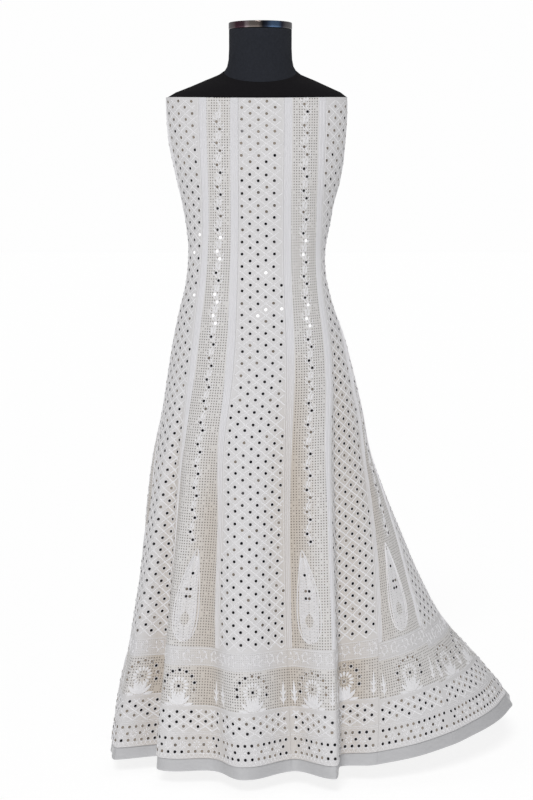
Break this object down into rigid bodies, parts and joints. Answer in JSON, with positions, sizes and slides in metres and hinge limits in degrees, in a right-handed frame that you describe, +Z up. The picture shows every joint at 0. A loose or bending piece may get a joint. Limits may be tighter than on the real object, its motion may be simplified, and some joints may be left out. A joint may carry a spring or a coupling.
{
  "type": "anarkali gown on a dress form",
  "caption": "Floor-length flared gown of tapered embroidered panels, worn by a limbless black dress form on a round stand.",
  "frame": {"origin": "middle of the round base's underside, on the floor, below the pole", "axes": "+Z up, the gown's front faces -Y, and +X is to the right as the front is seen"},
  "size_m": [0.8049, 0.7072, 1.4372],
  "materials": {
    "lattice_cloth": "off-white georgette with raised white thread lattice",
    "dotted_cloth": "off-white georgette with fine metal dots over a cream lining",
    "hem_strip_cloth": "plain satin strip, soft sheen",
    "white_thread": "raised white cotton thread",
    "mirror_disc": "small round mirrors",
    "form_cover": "matte black stretch cover",
    "neck_cover": "matte near-black cover",
    "cap_metal": "dark polished metal",
    "stand_steel": "brushed",
    "base_paint": "satin black paint"
  },
  "bodies": {
    "root": {"panel_left_7": "dotted_cloth", "panel_left_6": "lattice_cloth", "panel_left_5": "dotted_cloth", "panel_left_4": "lattice_cloth", "panel_left_3": "dotted_cloth", "panel_left_2": "lattice_cloth", "panel_left_1": "dotted_cloth", "panel_centre": "lattice_cloth", "panel_right_1": "dotted_cloth", "panel_right_2": "lattice_cloth", "panel_right_3": "dotted_cloth", "panel_right_4": "lattice_cloth", "panel_right_5": "dotted_cloth", "panel_right_6": "lattice_cloth", "panel_right_7": "dotted_cloth", "panel_back": "lattice_cloth", "hem_strip_left_7": "hem_strip_cloth", "hem_strip_left_6": "hem_strip_cloth", "hem_strip_left_5": "hem_strip_cloth", "hem_strip_left_4": "hem_strip_cloth", "hem_strip_left_3": "hem_strip_cloth", "hem_strip_left_2": "hem_strip_cloth", "hem_strip_left_1": "hem_strip_cloth", "hem_strip_centre": "hem_strip_cloth", "hem_strip_right_1": "hem_strip_cloth", "hem_strip_right_2": "hem_strip_cloth", "hem_strip_right_3": "hem_strip_cloth", "hem_strip_right_4": "hem_strip_cloth", "hem_strip_right_5": "hem_strip_cloth", "hem_strip_right_6": "hem_strip_cloth", "hem_strip_right_7": "hem_strip_cloth", "hem_strip_back": "hem_strip_cloth", "form_body": "form_cover", "form_neck": "neck_cover", "neck_cap": "cap_metal", "body_flange": "base_paint", "stand_pole": "stand_steel", "base_collar": "base_paint", "stand_base": "base_paint"}
  },
  "joints": []
}
